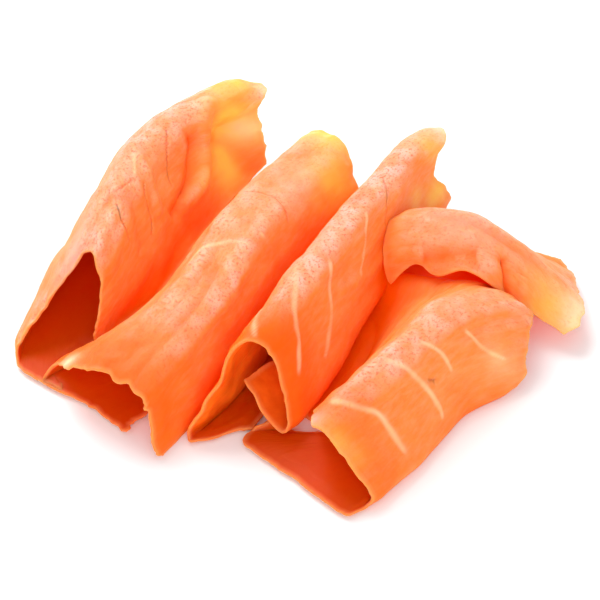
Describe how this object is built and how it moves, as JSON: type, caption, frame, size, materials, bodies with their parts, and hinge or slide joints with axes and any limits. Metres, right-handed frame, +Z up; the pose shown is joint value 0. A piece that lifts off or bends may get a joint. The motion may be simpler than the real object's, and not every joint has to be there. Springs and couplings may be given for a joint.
{
  "type": "smoked salmon slices",
  "caption": "Thin slices of cold-smoked salmon laid side by side in tall soft folds, overlapping each other, as served from an opened pack.",
  "frame": {"origin": "on the table under the centre of the box of all the slices", "axes": "+Z up, +Y along the folds and away from the front, +X across the row to the right"},
  "size_m": [0.1584, 0.1448, 0.032],
  "materials": {
    "slice_left_flesh": "moist satin",
    "slice_second_flesh": "moist satin",
    "slice_third_flesh": "moist satin",
    "slice_front_right_flesh": "moist satin",
    "slice_back_right_flesh": "moist satin"
  },
  "bodies": {
    "root": {"slice_left": "slice_left_flesh", "slice_second": "slice_second_flesh", "slice_third": "slice_third_flesh", "slice_front_right": "slice_front_right_flesh", "slice_back_right": "slice_back_right_flesh"}
  },
  "joints": []
}
